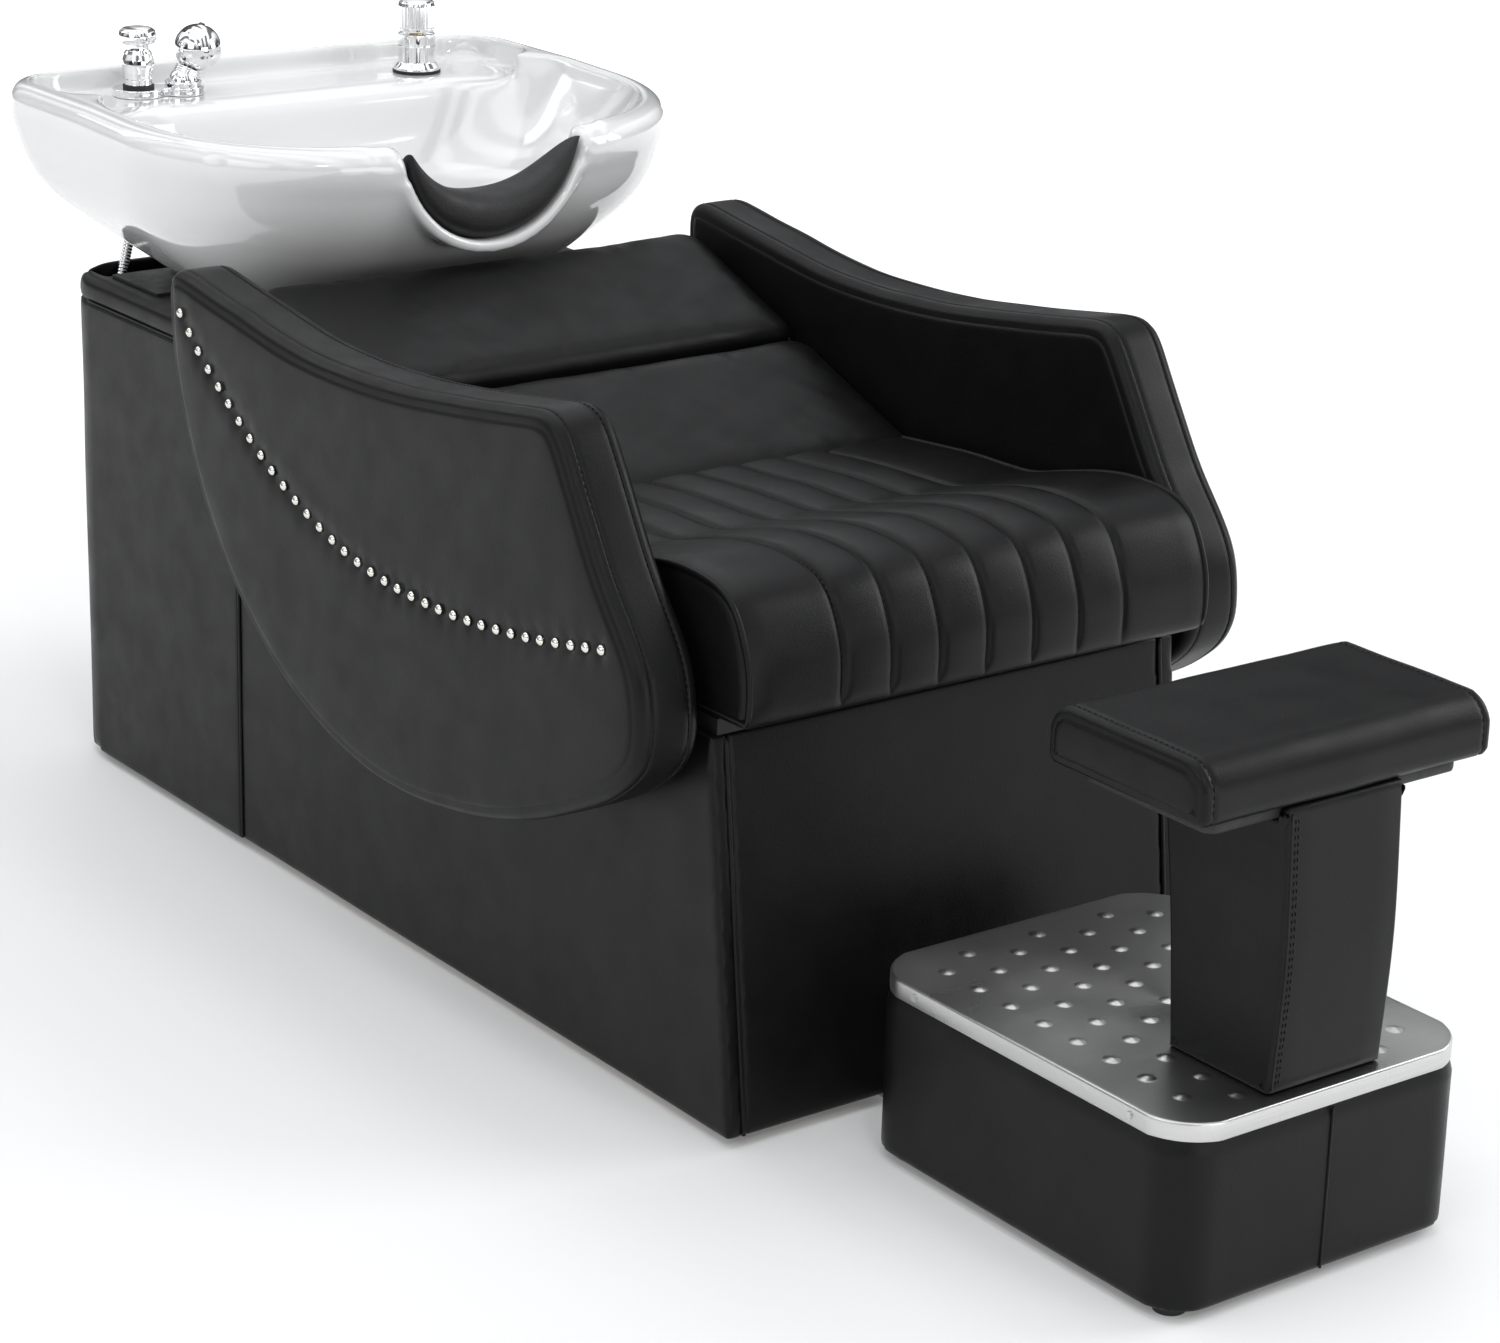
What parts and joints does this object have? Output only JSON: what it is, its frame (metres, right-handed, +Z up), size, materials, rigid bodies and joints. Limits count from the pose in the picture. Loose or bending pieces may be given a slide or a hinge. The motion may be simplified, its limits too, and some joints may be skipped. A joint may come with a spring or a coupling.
{
  "type": "shampoo backwash unit",
  "caption": "Upholstered salon shampoo chair on a box base with a tilting ceramic basin, mixer tap, pull-up sprayer, rear plumbing cabinet and a separate padded footrest",
  "frame": {"origin": "floor level under the centre of the bounding box", "axes": "+Z up; -Y towards the client's feet and the footrest, +Y towards the cabinet and taps; +X to the right of someone facing the footrest end"},
  "size_m": [0.7064, 1.786, 0.804],
  "materials": {
    "upholstery": "black pebbled vinyl, satin",
    "timber": "bare birch plywood and pine",
    "black_board": "plywood stained black where an edge could show",
    "glide": "black moulded nylon",
    "fastener": "zinc-plated steel",
    "nail": "bright nickel domes",
    "tread_plate": "brushed stainless, raised domes",
    "zinc_steel": "zinc-plated bar",
    "painted_steel": "black powder coat",
    "buffer_rubber": "black rubber",
    "ceramic_glaze": "white gloss glaze",
    "gel_rubber": "black moulded rubber, fine grain",
    "tap_chrome": "polished chrome plate",
    "tap_brass": "turned brass",
    "waste_plastic": "white moulded plastic",
    "tap_rubber": "black rubber washers",
    "black_plastic": "black moulded plastic",
    "hose_metal": "corrugated metal sleeve"
  },
  "bodies": {
    "chair": {"base_side_left": "upholstery", "base_side_right": "upholstery", "base_front_panel": "upholstery", "rear_bulkhead": "timber", "seat_deck": "black_board", "back_board": "timber", "base_rail_left": "timber", "base_rail_right": "timber", "base_crossbars": "timber", "cabinet_floor_bar": "timber", "foot_front_left": "glide", "foot_front_right": "glide", "foot_rear_left": "glide", "foot_rear_right": "glide", "seat_cushion": "upholstery", "lower_back_cushion": "upholstery", "upper_back_cushion": "upholstery", "arm_left": "upholstery", "arm_right": "upholstery", "arm_spacer_left": "black_board", "arm_spacer_right": "black_board", "arm_bolts": "fastener", "nailheads_left": "nail", "nailheads_right": "nail", "cabinet_shell": "upholstery", "cabinet_top": "upholstery", "service_panel": "upholstery", "service_panel_screws": "fastener", "footrest_shell": "upholstery", "footrest_deck": "timber", "footrest_feet": "glide", "footrest_plate": "tread_plate", "footrest_plate_screws": "fastener", "footrest_pillar": "upholstery", "footrest_pad_board": "black_board", "footrest_pad": "upholstery", "footrest_link_bars": "zinc_steel", "footrest_link_screws": "fastener", "tilt_bracket": "painted_steel", "tilt_pin": "zinc_steel", "tilt_buffers": "buffer_rubber"},
    "basin_unit": {"basin": "ceramic_glaze", "neck_rest": "gel_rubber", "tilt_cradle": "painted_steel", "drain_flange": "tap_chrome", "drain_tailpiece": "waste_plastic", "mixer_body": "tap_chrome", "deck_plate": "tap_chrome", "vacuum_breaker_body": "tap_chrome", "vacuum_breaker_cap": "tap_chrome", "tap_gaskets": "tap_rubber", "lock_nuts": "tap_brass", "sprayer_holder": "tap_chrome", "spray_hose": "hose_metal"},
    "strainer": {"drain_strainer": "tap_chrome"},
    "mixer_valve": {"mixer_stem": "tap_brass"},
    "mixer_handle": {"mixer_knob": "tap_chrome"},
    "breaker_valve": {"vacuum_breaker_float": "waste_plastic"},
    "sprayer": {"sprayer_head": "tap_chrome"},
    "thumb_lever": {"sprayer_lever": "black_plastic"}
  },
  "joints": [
    {"name": "basin_tilt", "type": "hinge", "parent": "chair", "child": "basin_unit", "pos_m": [0, 0.723, 0.572], "axis": [-1, 0, 0], "range_deg": [0, 15]},
    {"name": "strainer_lift", "type": "slide", "parent": "basin_unit", "child": "strainer", "axis": [0, 0, 1], "range_m": [0, 0.04]},
    {"name": "mixer_temperature", "type": "hinge", "parent": "basin_unit", "child": "mixer_valve", "pos_m": [0.181, 0.816, 0.75], "axis": [0, 0, 1], "range_deg": [-45, 45]},
    {"name": "mixer_flow", "type": "slide", "parent": "mixer_valve", "child": "mixer_handle", "axis": [0, 0, 1], "range_m": [0, 0.008]},
    {"name": "breaker_float", "type": "slide", "parent": "basin_unit", "child": "breaker_valve", "axis": [0, 0, 1], "range_m": [0, 0.006]},
    {"name": "sprayer_lift", "type": "slide", "parent": "basin_unit", "child": "sprayer", "axis": [0.4695, 0, 0.8829], "range_m": [0, 0.04]},
    {"name": "sprayer_lever", "type": "hinge", "parent": "sprayer", "child": "thumb_lever", "pos_m": [-0.10722, 0.821, 0.78432], "axis": [0, 1, 0], "range_deg": [0, 10], "stiffness_Nm_per_rad": 0.3}
  ]
}
